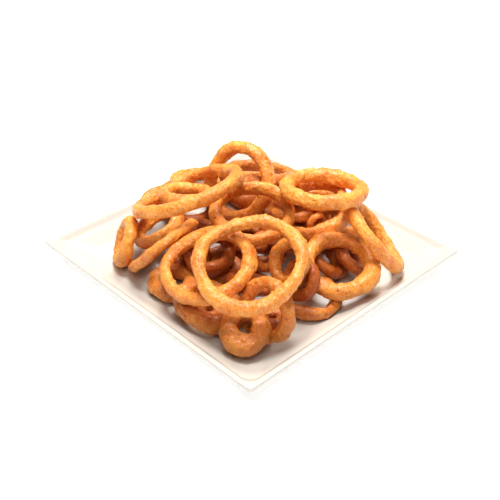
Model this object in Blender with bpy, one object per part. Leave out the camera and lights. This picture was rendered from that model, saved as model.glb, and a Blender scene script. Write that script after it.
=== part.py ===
# Onion rings side: a heap of battered, fried onion rings on a square white porcelain plate.
#
# Frame: metres, +Z up, origin on the table under the middle of the plate. The plate's sides run
# along X and Y. The heap is laid in a serving frame turned an eighth of a turn, so that a corner
# of the plate points at the diner: "right" and "away" are the diner's right and away, "up" is +Z.
# Sizes below are in millimetres and degrees, and MM turns them into metres.

import math

import bmesh
import bpy
import numpy as np
from mathutils import Matrix

MM = 0.001

# ---------------------------------------------------------------- plate
PLATE_SIDE = 250.0
RIM_HEIGHT = 22.0        # top of the lip above the table
LIP_THICKNESS = 4.6      # height of the outer edge
LIP_CORNER = 5.0         # the square's corners are nearly sharp
LIP_ROUNDING = 1.3
WELL_FLOOR = 6.0         # top of the flat floor above the table
FLOOR_HALF = 92.0        # half width of the flat floor
FLOOR_CORNER = 24.0      # the well's corners are much rounder than the rim's
RIM_START_HALF = 115.0   # where the wall of the well turns into the rim
RIM_START_HEIGHT = 16.5
RIM_START_CORNER = 12.0
WALL_STEPS = 5
FOOT_HALF = 87.0
FOOT_CORNER = 24.0
FOOT_WIDTH = 5.0
FOOT_DEPTH = 2.6         # recess inside the foot ring
UNDER_HALF = 98.0        # where the underside leaves the foot's outer slope
UNDER_HEIGHT = 4.2
CORNER_POINTS = 6        # points on each rounded corner

# ---------------------------------------------------------------- rings
SERVING_TURN = 45.0      # the heap's turn on the plate
SECTION_POINTS = 6       # points round a ring's section
SEGMENT_LENGTH = 11.5    # along a ring, between two sections
FEWEST_SEGMENTS = 13
IN_PLANE_WOBBLE = {3: 0.020, 4: 0.012, 5: 0.008}      # of the radius, by waves round the ring
OUT_OF_PLANE_WOBBLE = {2: 0.035, 3: 0.020}            # of the radius
THICKNESS_WOBBLE = {1: 0.06, 2: 0.07, 3: 0.06, 5: 0.05}   # of the thickness

# Each ring as it is laid: name, right, away, up (its middle), lean (0 lies flat, 90 stands),
# turn (which way it leans: 0 faces the diner), radius of its centreline, thickness of the
# battered section, oval (share by which it is longer one way), slew (where the long way points).
SHOWN_RINGS = [
    # front of the heap
    ("ring_front_large", -1.6, -82.3, 62, 23, -20, 38.3, 10.6, 0.00, 0),
    ("ring_front_left", -33.9, -57.4, 42, 19, -49, 33.3, 10.8, 0.02, 0),
    ("ring_front_small", -3.8, -110.5, 20.5, 24, -1, 12.9, 14.6, 0.04, 90),
    ("ring_front_standing", 7.6, -99.9, 31, 67, -45, 20.5, 10.4, 0.03, 90),
    ("ring_front_flat_left", -32.2, -80.2, 14, 11, 110, 20.6, 14.4, 0.00, 0),
    ("ring_front_flat_right", 46, -61, 10, 4, -55, 22.0, 9.5, 0.00, 0),
    ("ring_front_right", 70.7, -42.1, 33, 24, -1, 25.1, 12.8, 0.02, 0),
    # left side
    ("ring_left_low", -61, -50, 13, 6, -24, 14.0, 12.0, 0.04, 0),
    ("ring_left_edge", -104.4, -6.6, 26, 69, -88, 16.3, 11.4, 0.04, 0),
    ("ring_left_lean", -78.4, 6.9, 36, 31, -82, 21, 10, 0.04, 0),
    ("ring_left_strip", -72.2, -19.8, 32, 44, -121, 29, 8.8, 0.00, 0),
    ("ring_left_top", -54.3, 13.6, 64, 26, -127, 43.1, 11.4, 0.02, 0),
    ("ring_left_under", -57.6, 30.6, 50, 11, -167, 18.3, 10.5, 0.00, 0),
    # middle and top
    ("ring_middle_large", -0.8, -2, 52, 14, 43, 30.3, 9.6, 0.00, 0),
    ("ring_crown", -7.1, 50.5, 47, 60, -32, 29, 11.8, 0.03, 90),
    ("ring_crown_behind", 3, 80, 44, 16, 174, 30.0, 10.2, 0.00, 0),
    ("ring_middle_small", 30, -52, 42, 60, -40, 14.0, 10.0, 0.05, 90),
    # right side
    ("ring_right_top", 56.9, 8.2, 69, 9, 168, 29.7, 12.6, 0.02, 0),
    ("ring_right_under", 55.9, 25.1, 55, 8, -173, 19.4, 10.5, 0.03, 0),
    ("ring_right_outer", 96.2, -10.5, 40, 51, 95, 31.7, 10.8, 0.00, 0),
    ("ring_right_flat", 51.6, 11.3, 44, 13, -124, 24.3, 11.5, 0.00, 0),
    ("ring_right_back", 32.5, 24.2, 47, 6, -110, 17, 10, 0.00, 0),
]
INNER_RINGS = [
    ("ring_inner_left", -35.4, -27.7, 34, 21, -19, 17, 9.5, 0.00, 0),
    ("ring_inner_right", 37.9, -64.6, 27, 55, -64, 12.1, 10, 0.00, 0),
    ("ring_inner_middle", 10, -24, 28, 60, 45, 13.0, 9.5, 0.00, 0),
    ("ring_inner_deep", 4, -50, 21, 12, 114, 16.0, 9.5, 0.00, 0),
    ("ring_right_inner", 83.7, -21, 24, 46, 96, 13.7, 10.5, 0.00, 0),
    ("ring_right_inner_back", 59.1, -29, 25, 52, 70, 14.3, 10, 0.00, 0),
    ("ring_right_end", 45.8, 4.1, 46, 61, 77, 6.7, 5.5, 0.00, 0),
    ("ring_inner_back", -22, -24, 14, 8, 1, 9.6, 11.5, 0.00, 0),
    ("ring_inner_front", 17.7, -90.1, 14, 3, -42, 6.9, 11, 0.00, 0),
    ("ring_inner_low", -54.6, -18.8, 16, 5, 21, 11.6, 11, 0.00, 0),
    ("ring_left_strip_inner", -78.6, -11.6, 33.4, 131, 52, 20.2, 6.8, 0.00, 0),
    ("ring_inner_top", -5.1, 58.4, 33, 2, -151, 11.6, 12, 0.00, 0),
    ("ring_inner_front_left", -31.4, -75, 11, 6, 94, 7.1, 9, 0.00, 0),
    # lying on the plate
    ("ring_base_middle", 0, 36, 12, 3, 20, 17.0, 10.5, 0.03, 40),
    ("ring_base_left", -56, 52, 12, 3, 200, 22.0, 10.5, 0.02, 0),
    ("ring_base_right", 50, 48, 12, 3, 60, 24.0, 10.5, 0.02, 0),
    ("ring_base_front", 6, -8, 12, 3, 10, 17.0, 10.5, 0.02, 0),
    # second layer and the far side
    ("ring_core_left", -35.1, 24, 20, 8, 22, 22.5, 10.5, 0.00, 0),
    ("ring_core_right", 36, 16, 24, 10, 250, 24.0, 10.5, 0.00, 0),
    ("ring_core_middle", 0, 14, 20, 8, -20, 15.0, 10.0, 0.00, 0),
    ("ring_back_large", 4, 92, 15, 14, 183, 25.0, 10.5, 0.00, 0),
    ("ring_back_left", -49, 78, 26, 34, -152, 22.0, 10.5, 0.03, 0),
    ("ring_back_right", 48, 64, 33, 34, 148, 25.0, 10.5, 0.03, 0),
    ("ring_back_edge", 76, 46, 15, 20, 118, 16.0, 10.5, 0.00, 0),
    ("ring_back_corner", -79.8, 39.3, 40, 17, -99, 13.9, 10, 0.00, 0),
]
RINGS = SHOWN_RINGS + INNER_RINGS
# Some onion bands were cut wider than the rest: how much deeper such a ring is than thick.
BAND_DEPTH = {"ring_crown": 1.3, "ring_middle_large": 1.35, "ring_left_lean": 1.25,
              "ring_right_flat": 1.2,
              "ring_inner_left": 1.5}
INNER_GIVE = 12.0         # the inner rings give way this much more easily than the shown ones
GAP = 0.5                # clear space kept between two rings, and over the plate
EASE_STEPS = 300
EASE_SHARE = 0.45        # share of an overlap that one step takes away
HOLD_SHARE = 0.02        # pull back to the laid place in each of the first steps
HOLD_UNTIL = 0.6         # share of the steps that pull back
SHARE_UNTIL = 0.8        # after this share of the steps all rings give way alike
TURN_RESISTANCE = 3.0    # a ring rather moves than turns
SIGHT_SLOPE = 35.0       # rings give way mostly along a line sloping down and away at this angle
SIDE_GIVE = 0.35         # how easily they give way across that line
WALL_REACH = 1.12        # a ring on the well's sloping wall touches it beside its lowest line
CONTACT_POINTS = 64      # points on each ring at which its clearance is measured


def smooth_step(t):
    return t * t * (3.0 - 2.0 * t)


# ---------------------------------------------------------------- plate section
def plate_top():
    # Half width, corner radius and height of the nested outlines, from the floor to the lip.
    outlines = [(FLOOR_HALF, FLOOR_CORNER, WELL_FLOOR)]
    for step in range(1, WALL_STEPS + 1):
        t = step / WALL_STEPS
        half = FLOOR_HALF + (RIM_START_HALF - FLOOR_HALF) * t
        corner = FLOOR_CORNER + (RIM_START_CORNER - FLOOR_CORNER) * t
        rise = smooth_step(t) * 0.55 + t * t * 0.45
        outlines.append((half, corner, WELL_FLOOR + (RIM_START_HEIGHT - WELL_FLOOR) * rise))
    half = PLATE_SIDE / 2.0
    outlines.append((half - 4.0 * LIP_ROUNDING, LIP_CORNER + 4.0, RIM_HEIGHT - 0.9))
    outlines.append((half - 1.6 * LIP_ROUNDING, LIP_CORNER + 1.5, RIM_HEIGHT))
    return outlines


def plate_outlines():
    # The whole section as one run: top from the middle out, round the lip, underside back in.
    half = PLATE_SIDE / 2.0
    bottom_edge = RIM_HEIGHT - LIP_THICKNESS
    outlines = plate_top()
    outlines.append((half - 0.4 * LIP_ROUNDING, LIP_CORNER, RIM_HEIGHT - 0.3 * LIP_ROUNDING))
    outlines.append((half, LIP_CORNER, RIM_HEIGHT - LIP_ROUNDING))
    outlines.append((half, LIP_CORNER, bottom_edge + LIP_ROUNDING))
    outlines.append((half - LIP_ROUNDING, LIP_CORNER, bottom_edge))
    outlines.append((RIM_START_HALF + 2.0, RIM_START_CORNER, RIM_START_HEIGHT - 3.6))
    outlines.append((UNDER_HALF, FOOT_CORNER - 2.0, UNDER_HEIGHT))
    outlines.append((FOOT_HALF + 1.2, FOOT_CORNER, FOOT_DEPTH))
    outlines.append((FOOT_HALF, FOOT_CORNER, 0.0))
    outlines.append((FOOT_HALF - FOOT_WIDTH, FOOT_CORNER - FOOT_WIDTH, 0.0))
    outlines.append((FOOT_HALF - FOOT_WIDTH - 1.2, FOOT_CORNER - FOOT_WIDTH, FOOT_DEPTH))
    return outlines


def rounded_square(half, corner):
    points = []
    for quarter in range(4):
        middle = math.radians(45.0 + 90.0 * quarter)
        centre_x = (half - corner) * math.copysign(1.0, math.cos(middle))
        centre_y = (half - corner) * math.copysign(1.0, math.sin(middle))
        for step in range(CORNER_POINTS):
            angle = math.radians(90.0 * quarter + 90.0 * step / (CORNER_POINTS - 1))
            points.append((centre_x + corner * math.cos(angle), centre_y + corner * math.sin(angle)))
    return points


def plate_height(points):
    # Height of the plate's top under each point (x, y in the plate's own axes).
    tops = plate_top()
    halves = np.array([row[0] for row in tops])
    heights = np.array([row[2] for row in tops])
    corners = np.array([row[1] for row in tops])
    spans = np.abs(points[:, :2])
    low = np.full(len(points), 1.0)
    high = np.full(len(points), halves[-1])
    for _ in range(12):
        half = 0.5 * (low + high)
        corner = np.minimum(np.interp(half, halves, corners), half)
        past = spans - (half - corner)[:, None]
        distance = np.linalg.norm(np.maximum(past, 0.0), axis=1)
        distance = distance + np.minimum(past.max(axis=1), 0.0) - corner
        low = np.where(distance > 0.0, half, low)
        high = np.where(distance > 0.0, high, half)
    return np.interp(0.5 * (low + high), halves, heights)


# ---------------------------------------------------------------- ring shape
def waves(rng, angles, amplitudes):
    total = np.zeros_like(angles)
    for count, amplitude in amplitudes.items():
        size = amplitude * rng.uniform(0.4, 1.0)
        total += size * np.cos(count * angles + rng.uniform(0.0, 2.0 * math.pi))
    return total


def ring_run(index, count):
    # Centreline points in the ring's own plane, and half the thickness and depth at each of them.
    name, right, away, up, lean, turn, radius, thickness, oval, slew = RINGS[index]
    rng = np.random.default_rng(100 + index)
    angles = np.arange(count) * 2.0 * math.pi / count
    reach = radius * (1.0 + oval * np.cos(2.0 * (angles - math.radians(slew)))
                      + waves(rng, angles, IN_PLANE_WOBBLE))
    lift = radius * waves(rng, angles, OUT_OF_PLANE_WOBBLE)
    half = 0.5 * thickness * (1.0 + waves(rng, angles, THICKNESS_WOBBLE))
    points = np.stack([reach * np.cos(angles), reach * np.sin(angles), lift], axis=1)
    return points, half, half * BAND_DEPTH.get(name, 1.0)


def laid_rotation(lean, turn):
    return np.array(Matrix.Rotation(math.radians(turn), 3, "Z") @ Matrix.Rotation(math.radians(lean), 3, "X"))


def small_rotations(vectors):
    # Rotation matrices for rotation vectors, one for each ring.
    angles = np.linalg.norm(vectors, axis=1)
    axes = vectors / np.maximum(angles, 1e-12)[:, None]
    cross = np.zeros((len(vectors), 3, 3))
    cross[:, 0, 1], cross[:, 0, 2] = -axes[:, 2], axes[:, 1]
    cross[:, 1, 0], cross[:, 1, 2] = axes[:, 2], -axes[:, 0]
    cross[:, 2, 0], cross[:, 2, 1] = -axes[:, 1], axes[:, 0]
    sine = np.sin(angles)[:, None, None]
    versine = (1.0 - np.cos(angles))[:, None, None]
    return np.eye(3) + sine * cross + versine * cross @ cross


# ---------------------------------------------------------------- easing the heap apart
def plate_axes(points):
    turn = math.radians(SERVING_TURN)
    x = points[..., 0] * math.cos(turn) - points[..., 1] * math.sin(turn)
    y = points[..., 0] * math.sin(turn) + points[..., 1] * math.cos(turn)
    return np.stack([x, y], axis=-1)


def ease_apart():
    # Nudges the laid rings until none cuts into another or into the plate, and returns each
    # ring's middle and rotation. Rings keep close to where they were laid.
    count = len(RINGS)
    runs = [ring_run(index, CONTACT_POINTS) for index in range(count)]
    shapes = np.array([run[0] for run in runs])
    halves = np.array([run[2] for run in runs])
    laid = np.array([row[1:4] for row in RINGS], dtype=float)
    laid_turns = np.array([laid_rotation(row[4], row[5]) for row in RINGS])
    radii = np.array([row[6] for row in RINGS], dtype=float)
    reaches = np.linalg.norm(shapes, axis=2).max(axis=1) + halves.max(axis=1)
    slope = math.radians(SIGHT_SLOPE)
    sight = np.array([0.0, math.cos(slope), -math.sin(slope)])
    give = SIDE_GIVE * np.eye(3) + (1.0 - SIDE_GIVE) * np.outer(sight, sight)
    ease = np.where(np.arange(count) < len(SHOWN_RINGS), 1.0, INNER_GIVE)
    turn_give = ease / (TURN_RESISTANCE * radii ** 2)
    first, second = np.triu_indices(count, 1)
    moved = np.zeros((count, 3))
    turned = np.zeros((count, 3))
    for step in range(EASE_STEPS):
        if step == int(SHARE_UNTIL * EASE_STEPS):
            ease = np.ones(count)
            turn_give = ease / (TURN_RESISTANCE * radii ** 2)
        places = laid + moved
        turns = small_rotations(turned) @ laid_turns
        world = places[:, None] + np.einsum("nij,nsj->nsi", turns, shapes)
        shift = np.zeros((count, 3))
        twist = np.zeros((count, 3))
        apart = np.linalg.norm(places[first] - places[second], axis=1)
        near = apart < reaches[first] + reaches[second]
        ones, others = first[near], second[near]
        dots = world[ones] @ world[others].transpose(0, 2, 1)
        squares = (world ** 2).sum(axis=2)
        distances = squares[ones][:, :, None] + squares[others][:, None, :] - 2.0 * dots
        distances = np.sqrt(np.maximum(distances, 1e-9))
        clear = distances - halves[ones][:, :, None] - halves[others][:, None, :]
        closest = clear.reshape(len(ones), -1).argmin(axis=1)
        at_one, at_other = np.unravel_index(closest, clear.shape[1:])
        rows = np.arange(len(ones))
        depth = GAP - clear[rows, at_one, at_other]
        touching = depth > 0.0
        ones, others, rows = ones[touching], others[touching], rows[touching]
        at_one, at_other, depth = at_one[touching], at_other[touching], depth[touching]
        point_one, point_other = world[ones, at_one], world[others, at_other]
        away = point_one - point_other
        away /= np.maximum(np.linalg.norm(away, axis=1), 1e-9)[:, None]
        arm_one = np.cross(point_one - places[ones], away)
        arm_other = np.cross(point_other - places[others], away)
        push = (ease[ones] + ease[others]) * np.einsum("ni,ij,nj->n", away, give, away)
        push += (arm_one ** 2).sum(axis=1) * turn_give[ones]
        push += (arm_other ** 2).sum(axis=1) * turn_give[others]
        size = (EASE_SHARE * depth / push)[:, None]
        np.add.at(shift, ones, size * ease[ones][:, None] * (away @ give))
        np.add.at(shift, others, -size * ease[others][:, None] * (away @ give))
        np.add.at(twist, ones, size * arm_one * turn_give[ones][:, None])
        np.add.at(twist, others, -size * arm_other * turn_give[others][:, None])
        for ring in range(count):
            low = world[ring]
            if low[:, 2].min() > RIM_HEIGHT + halves[ring].max() + GAP:
                continue
            top = plate_height(plate_axes(low))
            reach = halves[ring] * np.where(top > WELL_FLOOR + 0.2, WALL_REACH, 1.0)
            sunk = top + reach + GAP - low[:, 2]
            lowest = int(sunk.argmax())
            if sunk[lowest] <= 0.0:
                continue
            arm = np.cross(low[lowest] - places[ring], (0.0, 0.0, 1.0))
            size = sunk[lowest] / (1.0 + (arm ** 2).sum() * turn_give[ring])
            shift[ring, 2] += size
            twist[ring] += size * arm * turn_give[ring]
        moved += shift
        turned += twist
        if step < HOLD_UNTIL * EASE_STEPS:
            moved *= 1.0 - HOLD_SHARE
            turned *= 1.0 - HOLD_SHARE
    return laid + moved, small_rotations(turned) @ laid_turns


# ---------------------------------------------------------------- Blender objects
def clear_scene():
    for item in list(bpy.data.objects):
        bpy.data.objects.remove(item, do_unlink=True)


def material(name, colour, roughness):
    made = bpy.data.materials.new(name)
    made.use_nodes = True
    shader = made.node_tree.nodes["Principled BSDF"]
    shader.inputs["Base Color"].default_value = (*colour, 1.0)
    shader.inputs["Roughness"].default_value = roughness
    shader.inputs["Metallic"].default_value = 0.0
    return made


def add_object(name, mesh_data, finish, parent=None):
    mesh = bpy.data.meshes.new(name)
    mesh_data.to_mesh(mesh)
    mesh_data.free()
    mesh.materials.append(finish)
    mesh.shade_smooth()
    item = bpy.data.objects.new(name, mesh)
    bpy.context.scene.collection.objects.link(item)
    item.parent = parent
    return item


def bridge(mesh_data, lower, upper):
    count = len(lower)
    for step in range(count):
        following = (step + 1) % count
        mesh_data.faces.new((lower[step], lower[following], upper[following], upper[step]))


def make_plate(finish):
    mesh_data = bmesh.new()
    loops = []
    for half, corner, height in plate_outlines():
        loops.append([mesh_data.verts.new((x * MM, y * MM, height * MM))
                      for x, y in rounded_square(half, corner)])
    for inner, outer in zip(loops, loops[1:]):
        bridge(mesh_data, outer, inner)
    mesh_data.faces.new(loops[0])
    mesh_data.faces.new(list(reversed(loops[-1])))
    plate = add_object("plate", mesh_data, finish)
    plate.data.set_sharp_from_angle(angle=math.radians(50.0))
    return plate


def make_ring(index, place, rotation, finish, parent):
    name, radius, thickness = RINGS[index][0], RINGS[index][6], RINGS[index][7]
    segments = max(FEWEST_SEGMENTS, round(2.0 * math.pi * radius / SEGMENT_LENGTH))
    points, halves, depths = ring_run(index, segments)
    mesh_data = bmesh.new()
    loops = []
    for step in range(segments):
        along = points[(step + 1) % segments] - points[step - 1]
        outward = np.cross(along, (0.0, 0.0, 1.0))
        outward /= np.linalg.norm(outward)
        upward = np.cross(outward, along)
        upward /= np.linalg.norm(upward)
        loop = []
        for corner in range(SECTION_POINTS):
            angle = 2.0 * math.pi * corner / SECTION_POINTS
            offset = halves[step] * math.cos(angle) * outward + depths[step] * math.sin(angle) * upward
            loop.append(mesh_data.verts.new((points[step] + offset) * MM))
        loops.append(loop)
    for step in range(segments):
        bridge(mesh_data, loops[(step + 1) % segments], loops[step])
    ring = add_object(name, mesh_data, finish, parent)
    ring.matrix_local = Matrix.Translation([value * MM for value in place]) @ Matrix(rotation).to_4x4()
    return ring


def main():
    clear_scene()
    porcelain = material("glazed_porcelain", (0.86, 0.84, 0.80), 0.12)
    batter = material("fried_batter", (0.72, 0.30, 0.07), 0.55)
    make_plate(porcelain)
    heap = bpy.data.objects.new("heap", None)
    bpy.context.scene.collection.objects.link(heap)
    heap.rotation_euler = (0.0, 0.0, math.radians(SERVING_TURN))
    places, rotations = ease_apart()
    for index in range(len(RINGS)):
        make_ring(index, places[index], rotations[index], batter, heap)


if __name__ == "__main__":
    main()
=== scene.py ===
import math

import bmesh
import bpy
import numpy as np
from mathutils import Matrix, Vector


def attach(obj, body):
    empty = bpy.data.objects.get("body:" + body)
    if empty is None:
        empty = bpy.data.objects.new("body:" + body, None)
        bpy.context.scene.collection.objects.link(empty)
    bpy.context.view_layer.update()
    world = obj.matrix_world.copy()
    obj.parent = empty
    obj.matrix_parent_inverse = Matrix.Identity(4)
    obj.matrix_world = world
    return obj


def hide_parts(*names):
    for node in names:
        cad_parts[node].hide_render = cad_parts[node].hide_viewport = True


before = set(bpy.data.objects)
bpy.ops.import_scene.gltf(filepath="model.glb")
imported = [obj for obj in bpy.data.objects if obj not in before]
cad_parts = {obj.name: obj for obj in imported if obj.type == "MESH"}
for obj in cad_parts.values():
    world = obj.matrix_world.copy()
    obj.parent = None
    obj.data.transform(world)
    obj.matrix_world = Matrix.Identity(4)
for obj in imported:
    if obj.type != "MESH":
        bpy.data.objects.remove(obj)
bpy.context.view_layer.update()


# ---- small helpers ----

def srgb(text):
    # "#rrggbb" as seen on a screen to the linear values that sockets take
    values = [int(text[place:place + 2], 16) / 255.0 for place in (1, 3, 5)]
    linear = [v / 12.92 if v <= 0.04045 else ((v + 0.055) / 1.055) ** 2.4 for v in values]
    return (*linear, 1.0)


def addNode(tree, kind, settings=None, sockets=None):
    # settings are the node's own options; a socket takes a plain value or another node's output
    node = tree.nodes.new(kind)
    for name, value in (settings or {}).items():
        if name == "stops":
            band = node.color_ramp
            for index, (place, colour) in enumerate(value):
                element = band.elements[index] if index < 2 else band.elements.new(place)
                element.position = place
                element.color = srgb(colour) if isinstance(colour, str) else (colour,) * 3 + (1.0,)
        else:
            setattr(node, name, value)
    for name, value in (sockets or {}).items():
        if isinstance(value, bpy.types.NodeSocket):
            tree.links.new(value, node.inputs[name])
        else:
            node.inputs[name].default_value = value
    return node


def newMaterial(name):
    made = bpy.data.materials.new(name)
    made.use_nodes = True
    tree = made.node_tree
    tree.nodes.clear()
    return made, tree


def meshObject(name, mesh):
    made = bpy.data.objects.new(name, mesh)
    bpy.context.scene.collection.objects.link(made)
    return made


# ---- camera, light and floor ----

studio = {
    "azimuth": 44.856,          # from the front, towards the plate's near corner
    "elevation": 34.949,
    "distance": 0.7755,
    "shiftRight": -0.00132,
    "shiftUp": 0.0133,
    "roll": 1.203,
    "lens": 65.0,
    "world": 0.09,
    "floor": "#f4f4f2",
    "floorGlow": 0.52,          # the sheet is lit from below, so shadows on it stay light
}


def makeCamera():
    az, el, roll = (math.radians(studio[key]) for key in ("azimuth", "elevation", "roll"))
    back = Vector((math.sin(az) * math.cos(el), -math.cos(az) * math.cos(el), math.sin(el)))
    right = Vector((math.cos(az), math.sin(az), 0.0))
    up = back.cross(right)
    across = math.cos(roll) * right + math.sin(roll) * up
    along = -math.sin(roll) * right + math.cos(roll) * up
    place = back * studio["distance"] + across * studio["shiftRight"] + along * studio["shiftUp"]
    camera = bpy.data.objects.new("camera", bpy.data.cameras.new("camera"))
    bpy.context.scene.collection.objects.link(camera)
    camera.matrix_world = Matrix([[across[i], along[i], back[i], place[i]] for i in range(3)]
                                 + [[0.0, 0.0, 0.0, 1.0]])
    camera.data.lens = studio["lens"]
    camera.data.sensor_width = 36.0
    camera.data.clip_start = 0.01
    bpy.context.scene.camera = camera


lights = {
    # name: place, aimed at, size in metres, power in watts, colour
    "keyBehind": ((-0.45, 0.55, 1.10), (0.0, 0.0, 0.03), 0.45, 12.0, "#fff4e6"),
    "softTop": ((-0.05, 0.02, 1.30), (0.0, 0.0, 0.03), 0.50, 21.0, "#fffdfa"),
    "frontTop": ((0.42, -0.50, 1.15), (0.0, 0.0, 0.05), 0.60, 5.0, "#fffaf2"),
}


def makeLights():
    for name, (place, aim, size, power, colour) in lights.items():
        lamp = bpy.data.lights.new(name, "AREA")
        lamp.shape = "DISK"
        lamp.size = size
        lamp.energy = power
        lamp.color = srgb(colour)[:3]
        made = bpy.data.objects.new(name, lamp)
        bpy.context.scene.collection.objects.link(made)
        made.location = place
        made.rotation_euler = (Vector(place) - Vector(aim)).to_track_quat("Z", "Y").to_euler()
    world = bpy.data.worlds.new("studioWorld")
    world.use_nodes = True
    backdrop = world.node_tree.nodes["Background"]
    backdrop.inputs["Color"].default_value = srgb("#ffffff")
    backdrop.inputs["Strength"].default_value = studio["world"]
    bpy.context.scene.world = world
    bpy.context.scene.view_settings.view_transform = "Standard"


def makeFloor():
    mesh = bpy.data.meshes.new("floor")
    side = 6.0
    mesh.from_pydata([(-side, -side, 0.0), (side, -side, 0.0), (side, side, 0.0), (-side, side, 0.0)],
                     [], [(0, 1, 2, 3)])
    floor = meshObject("floor", mesh)
    paper, tree = newMaterial("seamlessPaper")
    surface = addNode(tree, "ShaderNodeBsdfPrincipled",
                      sockets={"Base Color": srgb(studio["floor"]), "Roughness": 0.9,
                               "Emission Color": srgb("#f8faff"),
                               "Emission Strength": studio["floorGlow"]})
    addNode(tree, "ShaderNodeOutputMaterial", sockets={"Surface": surface.outputs[0]})
    mesh.materials.append(paper)


# ---- batter ----

batter = {
    "golden": "#fba33a",
    "deep": "#e07822",
    "pale": "#ffd78e",
    "toastedAndPitShade": "#853813",
    "friedAndShadedTint": "#b0875e",   # what a longer fried ring's colours are multiplied by, and the painted shade on rings inside and under the heap
    "patchSize": 0.016,       # broad lighter and darker areas, metres
    "mottleSize": 0.0030,     # flour freckles
    "grainSize": 0.0013,      # the fine crisp grain, drawn about twice its real size
    "shiniest": 0.36,         # roughness where the oil lies
    "dullest": 0.62,
}


fryAndShade = {
    # how far each ring is tinted brown, 0 pale gold, 1 brown: partly how long it looks fried, partly painted
    # shade on the rings deep in the heap (inner, base, core) and on rings lying in shade under or behind
    # others
    "usual": 0.14,
    "inner": 0.90,
    "base": 0.95,
    "core": 0.95,
    "ring_front_small": 0.55,
    "ring_front_standing": 0.40,
    "ring_front_flat_left": 0.55,
    "ring_front_flat_right": 0.60,
    "ring_left_low": 0.30,
    "ring_middle_small": 0.40,
    "ring_crown_behind": 0.45,
    "ring_right_back": 0.50,
    "ring_right_end": 0.20,
    "ring_right_top": 0.0,
    "ring_right_under": 0.0,
    "ring_right_outer": 0.05,
    "ring_left_under": 0.05,
    "ring_crown": 0.0,
}


def fryAndShadeOf(name):
    kind = next((word for word in ("inner", "base", "core") if word in name), "usual")
    return fryAndShade.get(name, fryAndShade[kind])


def makeBatter():
    # Fried wheat batter: set round the onion in hot oil, so it is blistered and uneven, browned on its high
    # spots and the thin places, paler where it is thick, with a thin film of oil that breaks the shine into
    # small soft glints. Its colour also carries painted shade: darker in the pits and low places of the
    # crust, and on the rings inside and under the heap.
    crust, tree = newMaterial("friedBatter")
    place = addNode(tree, "ShaderNodeTexCoord").outputs["Object"]
    patches = addNode(tree, "ShaderNodeTexNoise", None,
                      {"Vector": place, "Scale": 1.0 / batter["patchSize"], "Detail": 3.0,
                       "Roughness": 0.55}).outputs[0]
    mottle = addNode(tree, "ShaderNodeTexNoise", None,
                     {"Vector": place, "Scale": 1.0 / batter["mottleSize"], "Detail": 4.0,
                      "Roughness": 0.6}).outputs[0]
    grain = addNode(tree, "ShaderNodeTexNoise", None,
                    {"Vector": place, "Scale": 1.0 / batter["grainSize"], "Detail": 3.0,
                     "Roughness": 0.6}).outputs[0]
    relief = addNode(tree, "ShaderNodeAttribute", {"attribute_name": "relief"}).outputs["Fac"]
    layers = [
        # where it shows, from what, and its colour
        ([(0.34, 0.0), (0.62, 1.0)], patches, batter["golden"]),
        ([(0.52, 0.0), (0.76, 0.6)], mottle, batter["pale"]),
        ([(0.27, 0.85), (0.38, 0.0)], mottle, batter["toastedAndPitShade"]),
        ([(0.54, 0.0), (0.66, 0.45)], grain, batter["pale"]),
        ([(0.34, 0.6), (0.46, 0.0)], grain, batter["deep"]),
        # painted shade: the low places of the crust's relief are darkened to toasted brown
        ([(0.20, 0.85), (0.42, 0.0)], relief, batter["toastedAndPitShade"]),
    ]
    colour = srgb(batter["deep"])
    for stops, source, shade in layers:
        cover = addNode(tree, "ShaderNodeValToRGB", {"stops": stops}, {"Fac": source}).outputs[0]
        colour = addNode(tree, "ShaderNodeMix", {"data_type": "RGBA"},
                         {0: cover, 6: colour, 7: srgb(shade)}).outputs[2]
    # painted shade: rings inside, under and behind the heap are darkened, together with the browner tint of
    # rings fried longer
    fryAndShadeLevel = addNode(tree, "ShaderNodeAttribute", {"attribute_name": "fryAndShade"}).outputs["Fac"]
    colour = addNode(tree, "ShaderNodeMix", {"data_type": "RGBA", "blend_type": "MULTIPLY"},
                     {0: fryAndShadeLevel, 6: colour, 7: srgb(batter["friedAndShadedTint"])}).outputs[2]
    rough = addNode(tree, "ShaderNodeMapRange", None,
                    {"Value": mottle, "From Min": 0.3, "From Max": 0.7,
                     "To Min": batter["shiniest"], "To Max": batter["dullest"]}).outputs[0]
    height = addNode(tree, "ShaderNodeMix", {"data_type": "FLOAT"},
                     {0: 0.6, 2: mottle, 3: grain}).outputs[0]
    bump = addNode(tree, "ShaderNodeBump", None,
                   {"Height": height, "Strength": 1.0, "Distance": 0.0012}).outputs[0]
    surface = addNode(tree, "ShaderNodeBsdfPrincipled", None,
                      {"Base Color": colour, "Roughness": rough, "Normal": bump, "IOR": 1.40,
                       "Subsurface Weight": 0.12, "Subsurface Scale": 0.003,
                       "Subsurface Radius": (1.0, 0.45, 0.15),
                       "Coat Weight": 0.22, "Coat Roughness": 0.20})
    addNode(tree, "ShaderNodeOutputMaterial", None, {"Surface": surface.outputs[0]})
    return crust


# ---- rings ----

ringShape = {
    "shownStep": 0.00075,      # mesh spacing on the rings in view
    "innerStep": 0.00120,
    "draftStep": 0.00150,
    "fullness": 0.99,          # of the CAD tube's half thickness
    "squareness": 2.25,        # 2 is a round section, more is boxier, as the onion band inside is
    "innerFlat": 0.10,         # the side towards the hole is this much flatter
    "innerSwell": {"ring_front_small": 0.05},     # batter that nearly closed a small ring's hole
}


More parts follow.
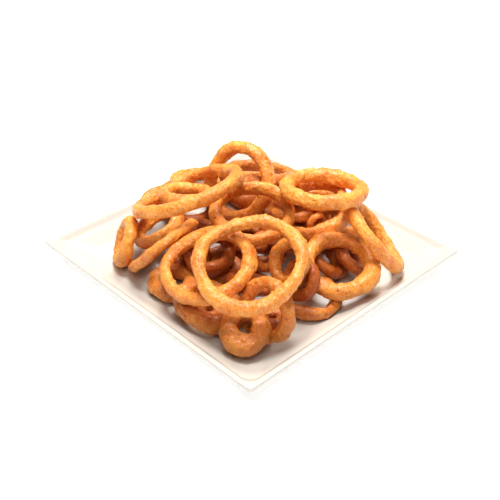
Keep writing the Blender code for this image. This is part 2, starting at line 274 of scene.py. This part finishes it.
def ringSections(node):
    # Middle, half width and half depth of each six-sided section of a CAD ring, in order round it.
    raw = np.array([v.co for v in node.data.vertices])
    points = np.unique(np.round(raw, 6), axis=0)
    count = len(points) // 6
    middle = points.mean(axis=0)
    _, _, frameAxes = np.linalg.svd(points - middle)
    flat = (points - middle) @ frameAxes[:2].T
    order = np.argsort(np.arctan2(flat[:, 1], flat[:, 0]))
    gaps = np.diff(np.sort(np.arctan2(flat[:, 1], flat[:, 0])), append=0.0)
    gaps[-1] = 2.0 * math.pi - np.ptp(np.arctan2(flat[:, 1], flat[:, 0]))
    start = (int(gaps.argmax()) + 1) % len(points)
    groups = np.roll(order, -start).reshape(count, 6)
    for _ in range(4):
        centres = points[groups].mean(axis=1)
        along = np.roll(centres, -1, axis=0) - np.roll(centres, 1, axis=0)
        along /= np.linalg.norm(along, axis=1)[:, None]
        offset = points[:, None] - centres[None]
        distance = np.linalg.norm(offset, axis=2) + 4.0 * np.abs((offset * along[None]).sum(axis=2))
        home = distance.argmin(axis=1)
        if not all((home == index).sum() == 6 for index in range(count)):
            break
        groups = np.array([np.where(home == index)[0] for index in range(count)])
    centres = points[groups].mean(axis=1)
    along = np.roll(centres, -1, axis=0) - np.roll(centres, 1, axis=0)
    outward = np.cross(along, frameAxes[2])
    outward /= np.linalg.norm(outward, axis=1)[:, None]
    upward = np.cross(outward, along)
    upward /= np.linalg.norm(upward, axis=1)[:, None]
    offset = points[groups] - centres[:, None]
    # a six-sided section has corners outward and inward, and its flats above and below
    wide = np.abs((offset * outward[:, None]).sum(axis=2)).max(axis=1)
    deep = np.abs((offset * upward[:, None]).sum(axis=2)).max(axis=1) / math.sin(math.radians(60.0))
    return centres, np.stack([wide, deep], axis=1), frameAxes[2]


def smoothRound(values, samples):
    # Periodic cubic through the values, at evenly spaced samples given in steps of the values.
    count = len(values)
    whole = np.floor(samples).astype(int)
    part = (samples - whole)[:, None]
    before, here, after, later = (values[(whole + shift) % count] for shift in (-1, 0, 1, 2))
    return 0.5 * (2.0 * here + (after - before) * part
                  + (2.0 * before - 5.0 * here + 4.0 * after - later) * part ** 2
                  + (3.0 * here - before - 3.0 * after + later) * part ** 3)


def ringMesh(name, step, seed):
    # A closed tube along the ring, with where each point lies round the section and along the ring.
    centres, halves, normal = ringSections(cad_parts[name])
    count = len(centres)
    middle = centres.mean(axis=0)
    if np.dot(np.cross(centres[0] - middle, centres[1] - middle), normal) < 0.0:
        normal = -normal
    fine = np.linspace(0.0, count, count * 16, endpoint=False)
    path = smoothRound(centres, fine)
    length = np.linalg.norm(np.roll(path, -1, axis=0) - path, axis=1)
    total = length.sum()
    segments = max(48, int(round(total / step)))
    travelled = np.concatenate([[0.0], np.cumsum(length)])
    stops = np.interp(np.arange(segments) / segments * total, travelled, np.append(fine, count))
    line = smoothRound(centres, stops)
    half = smoothRound(halves, stops) * ringShape["fullness"]
    along = np.roll(line, -1, axis=0) - np.roll(line, 1, axis=0)
    along /= np.linalg.norm(along, axis=1)[:, None]
    outward = np.cross(along, normal)
    outward /= np.linalg.norm(outward, axis=1)[:, None]
    upward = np.cross(outward, along)
    around = max(20, int(round(2.0 * math.pi * half.mean() / step)))
    rng = np.random.default_rng(seed)
    turn = np.arange(around) * 2.0 * math.pi / around
    power = 2.0 / ringShape["squareness"]
    across = np.sign(np.cos(turn)) * np.abs(np.cos(turn)) ** power
    rise = np.sign(np.sin(turn)) * np.abs(np.sin(turn)) ** power
    inward = ringShape["innerSwell"].get(name, -ringShape["innerFlat"])
    across = np.where(across < 0.0, across * (1.0 + inward), across)
    lean = 0.35 * math.sin(seed) + 0.3 * np.sin(2.0 * math.pi * np.arange(segments) / segments
                                                + rng.uniform(0.0, 6.0))
    cosine, sine = np.cos(lean)[:, None], np.sin(lean)[:, None]
    out = across[None] * cosine - rise[None] * sine
    up = across[None] * sine + rise[None] * cosine
    points = (line[:, None] + (out * half[:, :1])[..., None] * outward[:, None]
              + (up * half[:, 1:])[..., None] * upward[:, None])
    index = np.arange(segments * around).reshape(segments, around)
    onward = np.roll(index, -1, axis=0)
    quads = np.stack([index, np.roll(index, -1, axis=1), np.roll(onward, -1, axis=1), onward],
                     axis=-1).reshape(-1, 4)
    mesh = bpy.data.meshes.new(name)
    mesh.from_pydata(points.reshape(-1, 3).tolist(), [], quads.tolist())
    mesh.update()
    first = mesh.polygons[0]
    if first.normal.dot(first.center - Vector(line[0])) < 0.0:
        mesh.flip_normals()
    mesh.shade_smooth()
    place = mesh.attributes.new("along", "FLOAT", "POINT")
    place.data.foreach_set("value", np.repeat(np.arange(segments) / segments, around).astype(np.float32))
    # each ring's tint level, part fry tone and part painted shade, for the batter's colour
    mesh.attributes.new("fryAndShade", "FLOAT", "POINT").data.foreach_set(
        "value", np.full(segments * around, fryAndShadeOf(name), dtype=np.float32))
    return mesh


coat = {
    "Lump Height": 0.0016,
    "Lump Size": 0.0085,
    "Swell Height": 0.0014,
    "Swell Size": 0.024,
    "Grain Height": 0.0007,
    "Grain Size": 0.0020,
    "Knob Height": 0.0010,
    "Knob Size": 0.0056,
    "Pit Height": 0.0010,
    "Pit Size": 0.0075,
}


def makeCoatTree(finish):
    # Pushes a smooth tube out and in, the way batter sets in oil: swells, lumps, knobs, pits, grain.
    tree = bpy.data.node_groups.new("batterCoat", "GeometryNodeTree")
    face = tree.interface
    face.new_socket("Geometry", in_out="INPUT", socket_type="NodeSocketGeometry")
    for name, value in coat.items():
        face.new_socket(name, in_out="INPUT", socket_type="NodeSocketFloat").default_value = value
    face.new_socket("Seed", in_out="INPUT", socket_type="NodeSocketFloat")
    face.new_socket("Geometry", in_out="OUTPUT", socket_type="NodeSocketGeometry")
    given = tree.nodes.new("NodeGroupInput").outputs
    position = addNode(tree, "GeometryNodeInputPosition").outputs[0]
    apart = addNode(tree, "ShaderNodeMath", {"operation": "MULTIPLY"}, {0: given["Seed"], 1: 0.37})
    shift = addNode(tree, "ShaderNodeCombineXYZ", None,
                    {"X": apart.outputs[0], "Y": apart.outputs[0]}).outputs[0]
    place = addNode(tree, "ShaderNodeVectorMath", {"operation": "ADD"},
                    {0: position, 1: shift}).outputs[0]
    total = 0.0
    fine = 0.0
    for kind, detail in (("Swell", 1.0), ("Lump", 2.0), ("Grain", 2.0)):
        scale = addNode(tree, "ShaderNodeMath", {"operation": "DIVIDE"},
                        {0: 1.0, 1: given[kind + " Size"]}).outputs[0]
        noise = addNode(tree, "ShaderNodeTexNoise", None,
                        {"Vector": place, "Scale": scale, "Detail": detail}).outputs[0]
        level = addNode(tree, "ShaderNodeMath", {"operation": "SUBTRACT"}, {0: noise, 1: 0.5}).outputs[0]
        size = addNode(tree, "ShaderNodeMath", {"operation": "MULTIPLY"},
                       {0: given[kind + " Height"], 1: 2.0}).outputs[0]
        total = addNode(tree, "ShaderNodeMath", {"operation": "MULTIPLY_ADD"},
                        {0: level, 1: size, 2: total}).outputs[0]
        if kind == "Grain":
            fine = addNode(tree, "ShaderNodeMath", {"operation": "MULTIPLY"}, {0: level, 1: size}).outputs[0]
    for kind, reach, share, sign in (("Knob", 0.42, 0.30, 1.0), ("Pit", 0.20, 0.22, -1.0)):
        # a rounded spot in some of the cells
        scale = addNode(tree, "ShaderNodeMath", {"operation": "DIVIDE"},
                        {0: 1.0, 1: given[kind + " Size"]}).outputs[0]
        cells = addNode(tree, "ShaderNodeTexVoronoi", None, {"Vector": place, "Scale": scale})
        spot = addNode(tree, "ShaderNodeMapRange", {"interpolation_type": "SMOOTHSTEP"},
                       {"Value": cells.outputs["Distance"], "From Min": reach, "From Max": 0.0}).outputs[0]
        pick = addNode(tree, "ShaderNodeSeparateXYZ", None,
                       {"Vector": cells.outputs["Color"]}).outputs[0]
        chosen = addNode(tree, "ShaderNodeMath", {"operation": "LESS_THAN"}, {0: pick, 1: share}).outputs[0]
        spot = addNode(tree, "ShaderNodeMath", {"operation": "MULTIPLY"}, {0: spot, 1: chosen}).outputs[0]
        size = addNode(tree, "ShaderNodeMath", {"operation": "MULTIPLY"},
                       {0: given[kind + " Height"], 1: sign}).outputs[0]
        total = addNode(tree, "ShaderNodeMath", {"operation": "MULTIPLY_ADD"},
                        {0: spot, 1: size, 2: total}).outputs[0]
        fine = addNode(tree, "ShaderNodeMath", {"operation": "MULTIPLY_ADD"},
                       {0: spot, 1: size, 2: fine}).outputs[0]
    normal = addNode(tree, "GeometryNodeInputNormal").outputs[0]
    push = addNode(tree, "ShaderNodeVectorMath", {"operation": "SCALE"},
                   {0: normal, "Scale": total}).outputs[0]
    moved = addNode(tree, "GeometryNodeSetPosition", None,
                    {"Geometry": given["Geometry"], "Offset": push}).outputs[0]
    # the fine height, which the batter's colour uses for painted shade in the pits
    level = addNode(tree, "ShaderNodeMath", {"operation": "MULTIPLY_ADD"},
                    {0: fine, 1: 500.0, 2: 0.5}).outputs[0]
    kept = addNode(tree, "GeometryNodeStoreNamedAttribute", {"data_type": "FLOAT", "domain": "POINT"},
                   {"Name": "relief", "Geometry": moved, "Value": level}).outputs[0]
    real = addNode(tree, "GeometryNodeRealizeInstances", None, {"Geometry": kept}).outputs[0]
    done = addNode(tree, "GeometryNodeSetMaterial", None,
                   {"Geometry": real, "Material": finish}).outputs[0]
    addNode(tree, "NodeGroupOutput", None, {"Geometry": done})
    return tree


def coatRing(ring, tree, seed):
    modifier = ring.modifiers.new("batterCoat", "NODES")
    modifier.node_group = tree
    for item in tree.interface.items_tree:
        if item.item_type == "SOCKET" and item.in_out == "INPUT" and item.name == "Seed":
            modifier[item.identifier] = float(seed)
    bpy.context.view_layer.update()
    scene = bpy.context.evaluated_depsgraph_get()
    done = bpy.data.meshes.new_from_object(ring.evaluated_get(scene), depsgraph=scene)
    ring.modifiers.clear()
    ring.data = done
    done.shade_smooth()


def makeRings():
    crust = makeBatter()
    tree = makeCoatTree(crust)
    names = sorted(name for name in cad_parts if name.startswith("ring_"))
    faces = 0
    for seed, name in enumerate(names):
        hidden = any(word in name for word in ("inner", "base", "core"))
        step = ringShape["innerStep" if hidden else "shownStep"]
        mesh = ringMesh(name, step, seed)
        ring = meshObject(name + "_crust", mesh)
        coatRing(ring, tree, seed)
        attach(ring, "root")
        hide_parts(name)
        faces += len(ring.data.polygons)
    print("rings:", len(names), "faces:", faces)


# ---- plate ----

plateShape = {
    "cornerSteps": 14,
    "side": 0.250,
    "rimHeight": 0.022,
    "lipThickness": 0.0046,
    "lipCorner": 0.005,
    "lipRound": 0.0013,
    "wellFloor": 0.006,
    "floorHalf": 0.092,
    "floorCorner": 0.024,
    "rimStartHalf": 0.115,
    "rimStartHeight": 0.0165,
    "rimStartCorner": 0.012,
    # the soft bend from the wall to the lip: in from the edge, more than the lip's corner, below the lip
    "rimBend": [(0.0088, 0.0062, 0.00485), (0.0076, 0.0056, 0.0038), (0.0064, 0.0048, 0.0024),
                (0.0052, 0.0038, 0.0012), (0.0040, 0.0028, 0.0005), (0.0028, 0.0016, 0.0001)],
    "footHalf": 0.087,
    "footCorner": 0.024,
    "footWidth": 0.005,
    "footDepth": 0.0026,
}


def makePorcelain():
    # Glazed porcelain: slip cast, glazed and fired, so a smooth clear glass lies over a faintly
    # warm white body, with the slightest waviness in its reflections.
    glaze, tree = newMaterial("glazedPorcelain")
    place = addNode(tree, "ShaderNodeTexCoord").outputs["Object"]
    wave = addNode(tree, "ShaderNodeTexNoise", None,
                   {"Vector": place, "Scale": 26.0, "Detail": 2.0}).outputs[0]
    tint = addNode(tree, "ShaderNodeValToRGB", {"stops": [(0.35, "#cdcac3"), (0.65, "#d0cdc6")]},
                   {"Fac": wave}).outputs[0]
    bump = addNode(tree, "ShaderNodeBump", None,
                   {"Height": wave, "Strength": 0.06, "Distance": 0.0008}).outputs[0]
    surface = addNode(tree, "ShaderNodeBsdfPrincipled", None,
                      {"Base Color": tint, "Normal": bump, "Roughness": 0.16, "IOR": 1.52,
                       "Coat Weight": 0.4, "Coat Roughness": 0.05, "Subsurface Weight": 0.05,
                       "Subsurface Scale": 0.002})
    addNode(tree, "ShaderNodeOutputMaterial", None, {"Surface": surface.outputs[0]})
    return glaze


def plateRun():
    # half width, corner radius and height of each outline: top from the middle out, then under
    s = plateShape
    run = []
    for share in (0.25, 0.5, 0.75, 0.9):
        run.append((s["floorHalf"] * share, s["floorCorner"] * share, s["wellFloor"]))
    wall = 16
    for index in range(wall + 1):
        part = index / wall
        rise = 0.55 * part * part * (3.0 - 2.0 * part) + 0.45 * part * part
        run.append((s["floorHalf"] + (s["rimStartHalf"] - s["floorHalf"]) * part,
                    s["floorCorner"] + (s["rimStartCorner"] - s["floorCorner"]) * part,
                    s["wellFloor"] + (s["rimStartHeight"] - s["wellFloor"]) * rise))
    half = s["side"] / 2.0
    rounding = s["lipRound"]
    for inward, corner, below in s["rimBend"]:
        run.append((half - inward, s["lipCorner"] + corner, s["rimHeight"] - below))
    for index in range(7):
        turn = math.radians(90.0 - 15.0 * index)
        run.append((half - rounding + rounding * math.cos(turn), s["lipCorner"],
                    s["rimHeight"] - rounding + rounding * math.sin(turn)))
    bottom = s["rimHeight"] - s["lipThickness"]
    for index in range(7):
        turn = math.radians(-15.0 * index)
        run.append((half - rounding + rounding * math.cos(turn), s["lipCorner"],
                    bottom + rounding + rounding * math.sin(turn)))
    run.append((s["rimStartHalf"] + 0.004, s["rimStartCorner"], s["rimStartHeight"] - 0.0022))
    run.append((s["rimStartHalf"] - 0.002, s["rimStartCorner"], s["rimStartHeight"] - 0.0062))
    run.append((0.098, s["footCorner"] - 0.002, 0.0042))
    run.append((s["footHalf"] + 0.0012, s["footCorner"], s["footDepth"]))
    run.append((s["footHalf"] + 0.0002, s["footCorner"], 0.0003))
    run.append((s["footHalf"] - 0.0003, s["footCorner"], 0.0))
    inner = s["footHalf"] - s["footWidth"]
    run.append((inner + 0.0003, s["footCorner"] - s["footWidth"], 0.0))
    run.append((inner - 0.0012, s["footCorner"] - s["footWidth"], s["footDepth"]))
    run.append((inner * 0.5, (s["footCorner"] - s["footWidth"]) * 0.5, s["footDepth"]))
    return run


def roundedSquare(half, corner, steps):
    points = []
    for quarter in range(4):
        middle = math.radians(45.0 + 90.0 * quarter)
        x = (half - corner) * math.copysign(1.0, math.cos(middle))
        y = (half - corner) * math.copysign(1.0, math.sin(middle))
        for step in range(steps):
            turn = math.radians(90.0 * quarter + 90.0 * step / (steps - 1))
            points.append((x + corner * math.cos(turn), y + corner * math.sin(turn)))
    return points


def makePlate():
    made = bmesh.new()
    loops = []
    for half, corner, height in plateRun():
        loops.append([made.verts.new((x, y, height))
                      for x, y in roundedSquare(half, corner, plateShape["cornerSteps"])])
    count = len(loops[0])
    for inner, outer in zip(loops, loops[1:]):
        for step in range(count):
            following = (step + 1) % count
            made.faces.new((outer[step], outer[following], inner[following], inner[step]))
    made.faces.new(loops[0])
    made.faces.new(list(reversed(loops[-1])))
    mesh = bpy.data.meshes.new("servingPlate")
    made.to_mesh(mesh)
    made.free()
    mesh.shade_smooth()
    mesh.materials.append(makePorcelain())
    plate = meshObject("servingPlate", mesh)
    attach(plate, "root")
    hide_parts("plate")
    print("plate faces:", len(mesh.polygons))


makeCamera()
makeLights()
makeFloor()
print("camera, lights and floor made")
makePlate()
makeRings()
